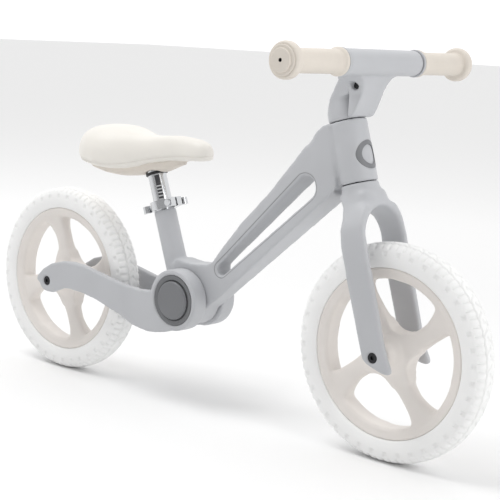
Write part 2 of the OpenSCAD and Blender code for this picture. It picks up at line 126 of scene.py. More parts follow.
def casting(name, nodes, body, voxel, rounds, material, slot, zones=()):
    """A cast piece: the CAD shape with all its edges rounded over, some stretches more."""
    bm = voxel_shell(merged_copy(*nodes), voxel)
    for zone_rounds, chosen in zones:
        soften(bm, zone_rounds, chosen)
    soften(bm, rounds)
    return add_piece(name, bm, body, material, nodes)


def steer_place(co):
    """A point in the steering frame: millimetres ahead of the axis line and up along it."""
    x = (co.x - FRONT_AXLE.x) * 1000
    z = (co.z - FRONT_AXLE.z) * 1000
    return x * cos(RAKE) + z * sin(RAKE), z * cos(RAKE) - x * sin(RAKE)


def machined(name, node, body, material, width, sharp=35, segments=2):
    """A turned or pressed piece: the CAD shape with a fine bevel on its sharp edges."""
    bm = merged_copy(node)
    bmesh.ops.dissolve_limit(bm, angle_limit=FLAT_ENOUGH, verts=bm.verts, edges=bm.edges)
    edges = [e for e in bm.edges if len(e.link_faces) == 2
             and e.calc_face_angle(0.0) > radians(sharp)]
    if edges:
        bmesh.ops.bevel(
            bm, geom=edges, offset=width, offset_type="OFFSET", segments=segments, profile=0.5,
            affect="EDGES", material=-1, clamp_overlap=True)
    for edge in bm.edges:
        if len(edge.link_faces) == 2:
            edge.smooth = edge.calc_face_angle(0.0) < CREASE
    piece = add_piece(name, bm, body, material, (node,))
    # broad faces keep their own direction, so plating reflects evenly up to each bevel
    weighted = piece.modifiers.new("Weighted Normal", "WEIGHTED_NORMAL")
    weighted.keep_sharp = True


def curve_through(points, steps):
    """Points on a smooth line through the given ones."""
    out = []
    count = len(points)
    for i in range(count - 1):
        a = points[max(i - 1, 0)]
        b = points[i]
        c = points[i + 1]
        d = points[min(i + 2, count - 1)]
        for k in range(steps):
            t = k / steps
            out.append(tuple(
                0.5 * (2 * b[n] + (c[n] - a[n]) * t
                       + (2 * a[n] - 5 * b[n] + 4 * c[n] - d[n]) * t * t
                       + (3 * b[n] - a[n] - 3 * c[n] + d[n]) * t ** 3)
                for n in (0, 1)))
    out.append(tuple(points[-1]))
    return out


def turned(profile, centre, steps, closed=False):
    """Spins a half section of (radius, along Y) in millimetres round Y at a centre."""
    bm = bmesh.new()
    line = [bm.verts.new(centre + Vector((0.0, y / 1000, r / 1000))) for r, y in profile]
    edges = [bm.edges.new(pair) for pair in zip(line, line[1:])]
    if closed:
        edges.append(bm.edges.new((line[-1], line[0])))
    bmesh.ops.spin(
        bm, geom=line + edges, cent=centre, axis=(0.0, 1.0, 0.0), angle=2 * pi, steps=steps,
        use_merge=True, use_duplicate=False)
    bmesh.ops.remove_doubles(bm, verts=bm.verts, dist=WELD)
    bmesh.ops.recalc_face_normals(bm, faces=bm.faces)
    return bm


def rounded(corners, radius=0.6, steps=3):
    """A turned outline whose corners are rounded; each corner is (radius, along[, rounding])."""
    out = [tuple(corners[0][:2])]
    for before, here, after in zip(corners, corners[1:], corners[2:]):
        p, a, b = Vector(here[:2]), Vector(before[:2]), Vector(after[:2])
        size = here[2] if len(here) > 2 else radius
        size = min(size, 0.45 * (a - p).length, 0.45 * (b - p).length)
        start = p + (a - p).normalized() * size
        end = p + (b - p).normalized() * size
        for k in range(steps + 1):
            t = k / steps
            q = start * (1 - t) ** 2 + p * 2 * t * (1 - t) + end * t * t
            out.append((q.x, q.y))
    out.append(tuple(corners[-1][:2]))
    return out


def flipped(bm):
    """The mirror image of a shape on the other side of the middle plane."""
    bmesh.ops.transform(bm, matrix=Matrix.Scale(-1, 4, (0, 1, 0)), verts=bm.verts)
    bmesh.ops.recalc_face_normals(bm, faces=bm.faces)
    return bm


# ------------------------------------------------------------------ materials

class Wire:
    """A shader value that can be used in ordinary arithmetic."""

    def __init__(self, tree, socket):
        self.tree = tree
        self.socket = socket

    def maths(self, operation, first, second):
        node = self.tree.nodes.new("ShaderNodeMath")
        node.operation = operation
        for slot, value in zip(node.inputs, (first, second)):
            if isinstance(value, Wire):
                self.tree.links.new(value.socket, slot)
            else:
                slot.default_value = value
        return Wire(self.tree, node.outputs[0])

    def __add__(self, other):
        return self.maths("ADD", self, other)

    def __radd__(self, other):
        return self.maths("ADD", other, self)

    def __sub__(self, other):
        return self.maths("SUBTRACT", self, other)

    def __rsub__(self, other):
        return self.maths("SUBTRACT", other, self)

    def __mul__(self, other):
        return self.maths("MULTIPLY", self, other)

    def __rmul__(self, other):
        return self.maths("MULTIPLY", other, self)

    def __pow__(self, other):
        return self.maths("POWER", self, other)

    def __mod__(self, other):
        return self.maths("MODULO", self, other)

    def __abs__(self):
        return self.maths("ABSOLUTE", self, 0.0)


class Recipe:
    """Builds one material from nodes."""

    def __init__(self, name):
        self.material = bpy.data.materials.new(name)
        self.material.use_nodes = True
        self.tree = self.material.node_tree
        self.shader = self.tree.nodes["Principled BSDF"]

    def node(self, kind, settings=None, values=None, output=0):
        """Adds a node: its settings first, then the values or links of its sockets."""
        node = self.tree.nodes.new(kind)
        for key, value in (settings or {}).items():
            if key == "stops":
                ramp = node.color_ramp
                while len(ramp.elements) < len(value):
                    ramp.elements.new(0.5)
                for element, (place, shade) in zip(ramp.elements, value):
                    element.position = place
                    element.color = shade
            else:
                setattr(node, key, value)
        for key, value in (values or {}).items():
            if isinstance(value, Wire):
                self.tree.links.new(value.socket, node.inputs[key])
            else:
                node.inputs[key].default_value = value
        return Wire(self.tree, node.outputs[output])

    def place(self):
        """Where a point is on the bike."""
        return self.node("ShaderNodeTexCoord", output="Object")

    def noise(self, scale, detail):
        return self.node("ShaderNodeTexNoise", None, {
            "Vector": self.place(), "Scale": scale, "Detail": detail, "Roughness": 0.5})

    def cells(self, scale, feature="F1", **more):
        return self.node("ShaderNodeTexVoronoi", {"feature": feature}, {
            "Vector": self.place(), "Scale": scale, **more})

    def axis(self, number):
        """One coordinate of the place: 0 forward, 1 to the left, 2 up."""
        return self.node("ShaderNodeSeparateXYZ", None, {"Vector": self.place()}, output=number)

    def stored(self, name):
        """A value kept with each point of the mesh."""
        return self.node("ShaderNodeAttribute", {"attribute_name": name}, output="Fac")

    def blend(self, factor, first, second):
        return self.node("ShaderNodeMix", {"data_type": "RGBA"}, {
            0: factor, 6: first, 7: second}, output=2)

    def band(self, value, low, high):
        """0 below low and 1 above high, with a soft step between."""
        return self.node("ShaderNodeMapRange", {"interpolation_type": "SMOOTHSTEP"}, {
            "Value": value, "From Min": low, "From Max": high})

    def bump(self, height, strength, distance, under=None):
        """A surface direction from a height, laid over another one where given."""
        values = {"Height": height, "Strength": strength, "Distance": distance}
        if under:
            values["Normal"] = under
        return self.node("ShaderNodeBump", None, values)

    def finish(self, **sockets):
        """Sets or links the shader's sockets and gives the material."""
        for key, value in sockets.items():
            socket = self.shader.inputs[key.replace("_", " ")]
            if isinstance(value, Wire):
                self.tree.links.new(value.socket, socket)
            else:
                socket.default_value = value
        return self.material


FOAM_GROOVE_SHADE = (0.72, 0.715, 0.70)
HOLE_PAINTED_SHADE = (0.02, 0.02, 0.02)
SEAM_PAINTED_SHADE = (0.62, 0.52, 0.44)
SCALE_MARK = (0.55, 0.56, 0.57)


def tint(colour, factor):
    """The colour made lighter or darker, with full opacity."""
    return tuple(min(1.0, c * factor) for c in colour[:3]) + (1.0,)


def satin_paint(name, colour, line=False):
    """Matte paint on a casting: fine orange peel, faint mottling, dust-softened sheen; where asked,
    painted shade darkens the groove round the slot.
    """
    r = Recipe(name)
    cloud = r.noise(9.0, 3.0)
    peel = r.noise(620.0, 2.0)
    grit = r.noise(2600.0, 1.0)
    shade = r.blend(r.band(cloud, 0.35, 0.65), tint(colour, 0.965), tint(colour, 1.03))
    rough = 0.40 + peel * 0.12 + cloud * 0.06
    height = peel * 0.7 + grit * 0.3
    normal = r.bump(height, 0.12, 0.0004)
    if line:
        inside = 1.0 - r.band(abs(r.stored("groove")), 0.25, 0.75)
        # painted shade: the groove's floor is darkened toward a quarter of the paint's colour
        shade = r.blend(inside * 0.62, shade, tint(colour, 0.25))
        normal = r.bump(1.0 - inside, 0.6, 0.0008, normal)
    return r.finish(Base_Color=shade, Roughness=rough, Normal=normal, Specular_IOR_Level=0.42,
                    Coat_Weight=0.08, Coat_Roughness=0.35)


def moulded_plastic(name, colour, scale=900.0, rough=0.46, depth=0.10):
    """Injection-moulded plastic with a fine spark-eroded texture."""
    r = Recipe(name)
    cloud = r.noise(14.0, 3.0)
    grain = r.noise(scale, 2.0)
    pits = r.cells(scale * 1.6)
    shade = r.blend(r.band(cloud, 0.3, 0.7), tint(colour, 0.97), tint(colour, 1.02))
    return r.finish(Base_Color=shade, Roughness=rough + grain * 0.10,
                    Normal=r.bump(grain * 0.6 + pits * 0.4, depth, 0.0003))


def closed_foam(name, colour):
    """Closed-cell foam: skin with fine cells, and painted shade that greys the tread's low places a
    little.
    """
    r = Recipe(name)
    cells = r.cells(1500.0)
    lumps = r.noise(160.0, 3.0)
    cloud = r.noise(12.0, 2.0)
    shade = r.blend(r.band(cloud, 0.35, 0.7), tint(colour, 0.985), tint(colour, 1.01))
    # painted shade: the tread's grooves are greyed in step with their depth
    shade = r.blend(r.stored("tread_low") * 0.12, shade, tint(FOAM_GROOVE_SHADE, 1.0))
    return r.finish(Base_Color=shade, Roughness=0.62 + lumps * 0.15,
                    Normal=r.bump(cells * 0.35 + lumps * 0.65, 0.22, 0.0006),
                    Specular_IOR_Level=0.35)


def soft_rubber(name, colour, hole=False):
    """Grip rubber: matte, with a very fine stipple; a plug's hole is filled with painted shade."""
    r = Recipe(name)
    stipple = r.cells(1300.0)
    cloud = r.noise(20.0, 3.0)
    shade = r.blend(r.band(cloud, 0.3, 0.7), tint(colour, 0.97), tint(colour, 1.02))
    if hole:
        x = r.axis(0) - BAR.x
        z = r.axis(2) - BAR.z
        outside = r.band((x * x + z * z) ** 0.5, 0.0022, 0.0026)
        # painted shade: near-black inside the hole round the bar's axis
        shade = r.blend(outside, tint(HOLE_PAINTED_SHADE, 1.0), shade)
    return r.finish(Base_Color=shade, Roughness=0.52 + cloud * 0.1,
                    Normal=r.bump(stipple, 0.16, 0.0003), Specular_IOR_Level=0.4)


def saddle_leather(name, colour):
    """Artificial leather: pebbled grain, soft sheen and a pressed seam near the lower edge,
    darkened with painted shade.
    """
    r = Recipe(name)
    pebble = r.cells(760.0, feature="SMOOTH_F1", Smoothness=0.6)
    fine = r.noise(1800.0, 2.0)
    cloud = r.noise(10.0, 3.0)
    shade = r.blend(r.band(cloud, 0.3, 0.7), tint(colour, 0.975), tint(colour, 1.015))
    inside = 1.0 - r.band(abs(r.stored("seam")), 0.2, 0.75)
    # painted shade: the seam's channel is darkened a little
    shade = r.blend(inside * 0.2, shade, tint(SEAM_PAINTED_SHADE, 0.8))
    grain = r.bump(pebble * 0.7 + fine * 0.3, 0.16, 0.0004)
    return r.finish(Base_Color=shade, Roughness=0.44 + pebble * 0.12,
                    Normal=r.bump(1.0 - inside, 0.5, 0.0008, grain),
                    Sheen_Weight=0.15, Sheen_Roughness=0.4)


def plated(name, colour, rough=0.12, brushed=0.0):
    """Plated metal with faint wipe marks."""
    r = Recipe(name)
    wipe = r.noise(60.0, 4.0)
    grain = r.noise(1400.0, 2.0)
    shade = r.blend(wipe, tint(colour, 0.94), tint(colour, 1.0))
    return r.finish(Base_Color=shade, Metallic=1.0, Roughness=rough + wipe * 0.10 + grain * brushed,
                    Normal=r.bump(grain, 0.03 + brushed * 0.2, 0.0002))


def ruled_strip(name, colour):
    """Dark height scale: plain dark patch at the top, then a row of short light marks."""
    r = Recipe(name)
    ahead = r.axis(0) - SEAT_POINT.x
    up = r.axis(2) - SEAT_POINT.z
    along = up * cos(SEAT_LEAN) - ahead * sin(SEAT_LEAN)
    beat = (along * 1000.0 + 100.0) % 5.0
    mark = (1.0 - r.band(abs(beat - 2.5), 0.7, 1.1)) * (1.0 - r.band(along, 0.046, 0.047))
    scuff = r.noise(300.0, 3.0)
    shade = r.blend(mark, tint(colour, 1.0), tint(SCALE_MARK, 1.0))
    return r.finish(Base_Color=shade, Roughness=0.4 + scuff * 0.2,
                    Normal=r.bump(mark + scuff * 0.2, 0.2, 0.0002))


MATERIALS = {}


def material(key):
    """The named finish, made once from the panel's colours."""
    if key not in MATERIALS:
        look = bpy.context.scene.bike_look
        makers = {
            "paint": lambda: satin_paint("grey_casting", look.casting),
            "paint_shaded_groove": lambda: satin_paint("grey_casting_shaded_groove", look.casting, True),
            "wheel": lambda: moulded_plastic("cream_wheel", look.wheel),
            "foam": lambda: closed_foam("white_foam", look.foam),
            "grip": lambda: soft_rubber("cream_grip", look.grip),
            "plug": lambda: soft_rubber("cream_plug", look.grip, True),
            "saddle": lambda: saddle_leather("cream_saddle", look.saddle),
            "shell": lambda: moulded_plastic("cream_base", look.shell, 700.0, 0.5),
            "cover": lambda: moulded_plastic("dark_cover", look.cover, 800.0, 0.5, 0.14),
            "button": lambda: moulded_plastic("grey_button", look.button, 800.0, 0.48, 0.14),
            "badge": lambda: moulded_plastic("grey_badge", look.badge, 1100.0, 0.4),
            "black": lambda: moulded_plastic("black_plastic", (0.012, 0.012, 0.013), 900.0, 0.42),
            "black_steel": lambda: plated("black_oxide", (0.045, 0.045, 0.048), 0.34, 0.1),
            "chrome": lambda: plated("bright_chrome", (0.62, 0.63, 0.645), 0.10),
            "steel": lambda: plated("plated_steel", (0.55, 0.56, 0.58), 0.25, 0.15),
            "scale": lambda: ruled_strip("height_scale", (0.045, 0.045, 0.05)),
        }
        MATERIALS[key] = makers[key]()
    return MATERIALS[key]


# ------------------------------------------------------------------ properties

class BikeLook(bpy.types.PropertyGroup):
    """Colours of the bike's finishes."""

    casting: FloatVectorProperty(
        name="Casting", description="Grey paint on the castings", subtype="COLOR",
        default=(0.490, 0.498, 0.518), min=0.0, max=1.0)
    wheel: FloatVectorProperty(
        name="Wheel", description="Moulded wheels", subtype="COLOR",
        default=(0.775, 0.735, 0.700), min=0.0, max=1.0)
    foam: FloatVectorProperty(
        name="Tyre", description="Foam tyres", subtype="COLOR",
        default=(0.90, 0.90, 0.895), min=0.0, max=1.0)
    grip: FloatVectorProperty(
        name="Grips", description="Handlebar grips", subtype="COLOR",
        default=(0.690, 0.637, 0.572), min=0.0, max=1.0)
    saddle: FloatVectorProperty(
        name="Saddle", description="Saddle cover", subtype="COLOR",
        default=(0.800, 0.772, 0.722), min=0.0, max=1.0)
    shell: FloatVectorProperty(
        name="Saddle base", description="Moulded base of the saddle", subtype="COLOR",
        default=(0.70, 0.645, 0.58), min=0.0, max=1.0)
    cover: FloatVectorProperty(
        name="Hinge cover", description="Dark ring on each hinge", subtype="COLOR",
        default=(0.158, 0.162, 0.170), min=0.0, max=1.0)
    button: FloatVectorProperty(
        name="Fold button", description="Button on each hinge", subtype="COLOR",
        default=(0.178, 0.182, 0.192), min=0.0, max=1.0)
    badge: FloatVectorProperty(
        name="Head ring", description="Plain ring on the head tube", subtype="COLOR",
        default=(0.19, 0.195, 0.205), min=0.0, max=1.0)


class BikeShape(bpy.types.PropertyGroup):
    """Fine sizes of the finished pieces."""

    voxel: FloatProperty(
        name="Skin step", description="Size of the squares that castings are skinned with",
        default=0.0015, min=0.001, max=0.004, precision=4, unit="LENGTH")
    rounding: IntProperty(
        name="Rounding", description="Smoothing passes on the castings", default=9, min=1, max=30)
    crown_rounding: IntProperty(
        name="Crown rounding", description="Extra smoothing passes on the fork's crown",
        default=34, min=0, max=200)
    joint_rounding: IntProperty(
        name="Joint rounding", description="Extra smoothing passes where the beam meets the head",
        default=36, min=0, max=100)
    spoke_rounding: IntProperty(
        name="Spoke rounding", description="Extra smoothing passes on the spokes", default=56,
        min=0, max=100)
    lugs: IntProperty(
        name="Tread blocks", description="Blocks round each tyre shoulder", default=40, min=20,
        max=60)
    tread_depth: FloatProperty(
        name="Tread depth", description="Depth of the grooves between the blocks",
        default=0.0018, min=0.0005, max=0.004, precision=4, unit="LENGTH")
    seam_height: FloatProperty(
        name="Seam height", description="Height of the saddle's seam over its lower edge",
        default=0.0085, min=0.003, max=0.02, precision=4, unit="LENGTH")


# ------------------------------------------------------------------ castings

# The two rounded ends of the line round the slot, in millimetres: forward, up and radius
LOW_END = (22.0, 211.0, 12.0)
HIGH_END = (171.0, 346.0, 20.0)
BEAM_FACE = 0.013


def belt_distance(x, z):
    """Distance in millimetres from the outline round the frame's long slot."""
    ax, az, ar = LOW_END
    bx, bz, br = HIGH_END
    dx, dz = bx - ax, bz - az
    length = hypot(dx, dz)
    ux, uz = dx / length, dz / length
    px, pz = x - ax, z - az
    along = px * ux + pz * uz
    across = abs(-px * uz + pz * ux)
    lean = (br - ar) / length
    rise = (1 - lean * lean) ** 0.5
    # where the shortest way to the slanted side starts, measured from the low end
    foot = (along * rise + across * lean) / rise
    if foot < 0:
        return hypot(along, across) - ar
    if foot > length:
        return hypot(along - length, across) - br
    return (across * rise - along * lean) - ar


# Where the beam runs into the head tube, in millimetres ahead and up in the steering frame
JOINT_AHEAD = (-62.0, 6.0)
JOINT_UP = (236.0, 298.0)


def behind_head(co):
    """True in the joint of the beam and the head tube."""
    ahead, up = steer_place(co)
    return JOINT_AHEAD[0] < ahead < JOINT_AHEAD[1] and JOINT_UP[0] < up < JOINT_UP[1]


class BIKE_OT_frame(bpy.types.Operator):
    """Rounded front frame with the fine groove round its slot, which its paint darkens with painted
    shade.
    """

    bl_idname = "bike.frame"
    bl_label = "Front frame"

    def execute(self, context):
        shape = context.scene.bike_shape
        bm = voxel_shell(merged_copy("main_frame"), shape.voxel * 1.1)
        soften(bm, shape.joint_rounding, behind_head)
        soften(bm, shape.rounding)
        # distance from the groove, which sets both its depth and its painted shade
        layer = bm.verts.layers.float.new("groove")
        for vert in bm.verts:
            away = belt_distance(vert.co.x * 1000, vert.co.z * 1000)
            vert[layer] = away if abs(vert.co.y) > BEAM_FACE else 9.0
        add_piece("front_frame", bm, "frame", material("paint_shaded_groove"), ("main_frame",))
        return {"FINISHED"}


class BIKE_OT_arms(bpy.types.Operator):
    """Rear arms and the bridge between them."""

    bl_idname = "bike.arms"
    bl_label = "Rear arms"

    def execute(self, context):
        shape = context.scene.bike_shape
        for side in ("right", "left"):
            casting("rear_arm_" + side, ("arm_" + side,), "rear_arms", shape.voxel, shape.rounding,
                    material("paint"), "cast_grey")
        casting("rear_bridge", ("arm_bridge",), "rear_arms", shape.voxel * 1.3, 5,
                material("paint"), "cast_grey")
        return {"FINISHED"}


# Stretches of the fork, in millimetres up the steering axis from the wheel's axle
CROWN = (150.0, 221.0)
SHOULDERS = (108.0, 221.0)
BLADES = (-40.0, 200.0)
BLADE_ROUNDS = 16


def up_the_fork(low, high):
    """A test for points between two heights along the steering axis, in millimetres."""
    def chosen(co):
        return low < steer_place(co)[1] < high
    return chosen


class BIKE_OT_fork(bpy.types.Operator):
    """One-piece fork with its arch over the wheel."""

    bl_idname = "bike.fork"
    bl_label = "Fork"

    def execute(self, context):
        shape = context.scene.bike_shape
        zones = (
            (shape.crown_rounding, up_the_fork(*CROWN)),
            (shape.crown_rounding, up_the_fork(*SHOULDERS)),
            (BLADE_ROUNDS, up_the_fork(*BLADES)))
        casting("fork_casting", ("fork",), "steering", shape.voxel, 6, material("paint"),
                "cast_grey", zones)
        return {"FINISHED"}


class BIKE_OT_stem(bpy.types.Operator):
    """Stem in two shells with the bar sleeve."""

    bl_idname = "bike.stem"
    bl_label = "Stem"

    def execute(self, context):
        shape = context.scene.bike_shape
        for name, node in (("stem_sleeve", "stem_front"), ("stem_back_shell", "stem_back")):
            casting(name, (node,), "steering", shape.voxel, shape.rounding - 2,
                    material("paint"), "cast_grey")
        return {"FINISHED"}


# ------------------------------------------------------------------ wheels

# The spokes lie between these distances from the axle
SPOKE_IN = 0.045
SPOKE_OUT = 0.097


class BIKE_OT_wheels(bpy.types.Operator):
    """Cast wheels with flared spokes."""

    bl_idname = "bike.wheels"
    bl_label = "Wheels"

    def execute(self, context):
        shape = context.scene.bike_shape
        for end in ("front", "rear"):
            centre = FRONT_AXLE if end == "front" else REAR_AXLE

            def spokes(co, centre=centre):
                return SPOKE_IN < hypot(co.x - centre.x, co.z - centre.z) < SPOKE_OUT

            casting(end + "_wheel_casting", (end + "_rim",), end + "_wheel", shape.voxel * 1.1,
                    5, material("wheel"), "cream_plastic", ((shape.spoke_rounding, spokes),))
        return {"FINISHED"}


def step(value, low, high):
    """0 below low and 1 above high, straight between."""
    return min(1.0, max(0.0, (value - low) / (high - low)))


def gap(turn, at, half, slope):
    """1 in a gap at one place of the pitch, fading to 0 over the slope."""
    away = abs((turn - at + 0.5) % 1.0 - 0.5)
    return 1.0 - step(away, half, half + slope)


# Parts of the tread, in millimetres: distances from the middle plane and from the axle
SHOULDER = 18.3
TREAD_RING = 9.0
POCKET_LOW = 129.4
POCKET_HIGH = 134.0


def tread_cut(angle, radius, y, lugs):
    """How deep the tread is cut at a place on the tyre: 0 on a block, 1 in a groove."""
    side = 1 if y > 0 else -1
    turn = angle * lugs / (2 * pi) + 0.25 * side
    wide = abs(y)
    if wide > SHOULDER:
        # small square pockets below the shoulder
        across = step(radius, POCKET_LOW - 0.8, POCKET_LOW)
        across *= 1.0 - step(radius, POCKET_HIGH, POCKET_HIGH + 0.8)
        return 0.85 * gap(turn, 0.25, 0.11, 0.05) * across
    shoulder = max(gap(turn, 0.0, 0.05, 0.06), 0.8 * gap(turn, 0.5, 0.03, 0.05))
    shoulder *= step(wide, 9.5, 10.5)
    bend = 1.5 * (abs((turn * 2) % 1.0 - 0.5) * 2 - 0.5)
    ring = 1.0 - step(abs(wide - TREAD_RING - bend), 0.5, 1.3)
    middle = gap(turn + wide / 26, 0.25, 0.035, 0.05) * (1.0 - step(wide, 7.0, 8.0))
    pocket = gap(turn, 0.75, 0.09, 0.04) * (1.0 - step(wide, 2.2, 3.0))
    return max(shoulder, ring, 0.8 * middle, 0.8 * pocket)


class BIKE_OT_tyres(bpy.types.Operator):
    """Foam tyres with a blocky tread and smooth sidewalls."""

    bl_idname = "bike.tyres"
    bl_label = "Tyres"

    def execute(self, context):
        shape = context.scene.bike_shape
        half = [(113.0, 16.2), (114.2, 17.6), (117.0, 18.9), (121.5, 20.0), (126.5, 20.4),
                (131.0, 20.2), (135.0, 19.4), (138.5, 17.8), (141.2, 15.2), (143.0, 12.0),
                (144.2, 8.0), (144.8, 4.0), (145.0, 0.0)]
        line = curve_through(half, 4)
        profile = line + [(r, -y) for r, y in reversed(line[:-1])]
        for end, centre in (("front", FRONT_AXLE), ("rear", REAR_AXLE)):
            bm = turned(profile, centre, shape.lugs * 18, closed=True)
            low = bm.verts.layers.float.new("tread_low")
            for vert in bm.verts:
                away = vert.co - centre
                r = hypot(away.x, away.z)
                cut = tread_cut(atan2(away.z, away.x), r * 1000, away.y * 1000, shape.lugs)
                cut *= step(r * 1000, 127.0, 128.0)
                if cut <= 0:
                    continue
                inward = Vector((-away.x / r, 0.0, -away.z / r))
                inward = (inward * (r - 0.118) + Vector((0.0, -away.y, 0.0))).normalized()
                # the groove depth, also kept for the foam's painted shade in the grooves
                vert[low] = cut
                vert.co += inward * shape.tread_depth * cut
            add_piece(end + "_foam_tyre", bm, end + "_wheel", material("foam"),
                      (end + "_tyre",))
        return {"FINISHED"}


# ------------------------------------------------------------------ handlebar and hinge

def turned_pair(name, profile, centre, steps, body, finish, node, closed=True):
    """A turned piece on the left and its mirror image on the right; {} stands for the side."""
    for side in ("left", "right"):
        bm = turned(profile, centre, steps, closed)
        if side == "right":
            bm = flipped(bm)
        add_piece(name + "_" + side, bm, body.format(side), material(finish),
                  (node.format(side),))


class BIKE_OT_grips(bpy.types.Operator):
    """Grips with end flanges, their plugs and the collars of the bar sleeve."""

    bl_idname = "bike.grips"
    bl_label = "Grips"

    def execute(self, context):
        grip = rounded([
            (11.1, 85.0), (17.4, 85.0), (18.25, 85.6, 1.0), (18.25, 89.5, 1.6), (15.6, 92.5, 2.0),
            (15.2, 96.0, 3.0), (15.2, 178.0, 4.0), (16.0, 181.0, 1.5), (20.6, 182.0, 1.2),
            (22.9, 184.5, 2.6), (22.9, 192.0, 2.6), (21.2, 194.8, 1.2), (19.0, 195.0),
            (19.0, 193.0), (11.1, 193.0)], 0.5, 4)
        plug = rounded([
            (2.2, 191.0), (19.0, 191.0), (19.0, 196.2, 0.9), (18.0, 197.0, 0.6), (15.0, 197.0, 0.3),
            (14.6, 197.2, 0.3), (14.5, 199.4, 0.9), (13.5, 200.0, 0.8), (3.0, 200.0, 0.5),
            (2.2, 199.2)], 0.4, 4)
        ring = rounded([
            (11.1, 81.0), (17.4, 81.0), (18.3, 81.5, 0.6), (18.3, 83.8, 0.6), (17.4, 84.4),
            (11.1, 84.4)], 0.4, 3)
        turned_pair("rubber_grip", grip, BAR, 72, "steering", "grip", "grip_{}")
        turned_pair("grip_plug", plug, BAR, 72, "steering", "plug", "grip_plugs")
        turned_pair("sleeve_collar", ring, BAR, 72, "steering", "paint",
                    "bar_collars")
        return {"FINISHED"}


class BIKE_OT_hinge(bpy.types.Operator):
    """Dark cover rings and the fold buttons."""

    bl_idname = "bike.hinge"
    bl_label = "Hinge covers"

    def execute(self, context):
        cover = rounded([
            (28.6, 39.0), (37.0, 39.0), (37.0, 42.2, 0.8), (36.2, 43.0, 0.8), (30.4, 42.6, 0.8),
            (28.6, 41.2, 0.6)], 0.4, 4)
        button = rounded([
            (0.0, 41.4), (26.8, 41.4), (28.2, 42.4), (28.2, 44.0, 1.4), (26.6, 46.3, 1.6),
            (20.0, 46.5, 4.0), (0.0, 46.2)], 0.5, 5)
        turned_pair("cover_ring", cover, HINGE, 96, "rear_arms", "cover",
                    "hinge_cover_{}")
        turned_pair("fold_button", button, HINGE, 96, "{}_button", "button",
                    "button_{}", closed=False)
        return {"FINISHED"}


# ------------------------------------------------------------------ saddle

# The saddle's lower edge from back to front, in millimetres: forward and up
EDGE_LINE = [(-267.0, 358.0), (-262.0, 350.0), (-249.9, 343.0), (-232.0, 338.0), (-206.0, 335.0),
             (-182.0, 334.0), (-164.0, 336.0), (-146.0, 340.0), (-126.0, 346.0), (-104.0, 350.0),
             (-80.0, 354.0), (-58.0, 356.0), (-40.0, 357.0), (-28.0, 358.0), (-19.0, 360.0)]


def edge_height(x):
    """Height of the saddle's lower edge at a forward position, in millimetres."""
    if x <= EDGE_LINE[0][0]:
        return EDGE_LINE[0][1]
    for (xa, za), (xb, zb) in zip(EDGE_LINE, EDGE_LINE[1:]):
        if x <= xb:
            return za + (zb - za) * (x - xa) / (xb - xa)
    return EDGE_LINE[-1][1]


PAD_VOXEL = 0.004
PAD_INSET = 0.0015
PAD_SWELL = 0.0035
PAD_STEPS = 20
PAD_FLAT = 0.004
SEAM_HALF = 2.2
SEAM_DEPTH = 0.0007
SHELL_VOXEL = 0.0018
SHELL_LIFT = 0.004


def swollen_pad(context):
    """The pad's skin, drawn in a little and then blown up as padded cloth."""
    bm = voxel_shell(merged_copy("saddle_pad"), PAD_VOXEL)
    soften(bm, 6)
    bm.normal_update()
    for vert in bm.verts:
        vert.co -= vert.normal * PAD_INSET
    rest = [v.co.copy() for v in bm.verts]
    mesh = bpy.data.meshes.new("pad_start")
    bm.to_mesh(mesh)
    bm.free()
    pad = bpy.data.objects.new("pad_start", mesh)
    context.scene.collection.objects.link(pad)
    cloth = pad.modifiers.new("Cloth", "CLOTH")
    cloth.settings.quality = 5
    cloth.settings.use_pressure = True
    cloth.settings.uniform_pressure_force = 4.0
    cloth.settings.effector_weights.gravity = 0.0
    cloth.settings.tension_stiffness = 30.0
    cloth.settings.compression_stiffness = 30.0
    for tick in range(1, PAD_STEPS + 1):
        context.scene.frame_set(tick)
    graph = context.evaluated_depsgraph_get()
    out = bmesh.new()
    out.from_mesh(pad.evaluated_get(graph).to_mesh())
    bpy.data.objects.remove(pad)
    context.scene.frame_set(1)
    for vert, start in zip(out.verts, rest):
        move = vert.co - start
        if move.length > PAD_SWELL:
            vert.co = start + move.normalized() * PAD_SWELL
        # the underside stays flat on its base
        if start.z < edge_height(start.x * 1000) / 1000 + PAD_FLAT:
            vert.co.z = max(vert.co.z, start.z)
    soften(out, 2)
    bmesh.ops.subdivide_edges(out, edges=out.edges, cuts=1, use_grid_fill=True, smooth=0.0)
    soften(out, 4)
    return out


def press_seam(bm, height):
    """Presses a fine channel round the pad at a height over its lower edge."""
    seam = bm.verts.layers.float.new("seam")
    bm.normal_update()
    for vert in bm.verts:
        up = vert.co.z * 1000 - edge_height(vert.co.x * 1000) - height * 1000
        vert[seam] = up
        if abs(up) < SEAM_HALF and abs(vert.normal.z) < 0.8:
            vert.co -= vert.normal * SEAM_DEPTH * (1 - abs(up) / SEAM_HALF)


class BIKE_OT_saddle(bpy.types.Operator):
    """Padded saddle with its seam, the moulded base and the dark collar under it."""

    bl_idname = "bike.saddle"
    bl_label = "Saddle"

    def execute(self, context):
        cushion = swollen_pad(context)
        press_seam(cushion, context.scene.bike_shape.seam_height)
        piece = add_piece("saddle_cushion", cushion, "seat", material("saddle"),
                          ("saddle_pad",))
        shell = voxel_shell(merged_copy("saddle_base"), SHELL_VOXEL)
        soften(shell, 8)
        for vert in shell.verts:
            # the shell's top goes up into the cushion, so no gap shows between them
            if vert.co.z > edge_height(vert.co.x * 1000) / 1000 - SHELL_LIFT:
                vert.co.z += SHELL_LIFT
        add_piece("saddle_shell", shell, "seat", material("shell"),
                  ("saddle_base",))
        machined("post_gasket", "saddle_gasket", "seat", material("black"), 0.0008)
        return {"FINISHED"}


# ------------------------------------------------------------------ hardware

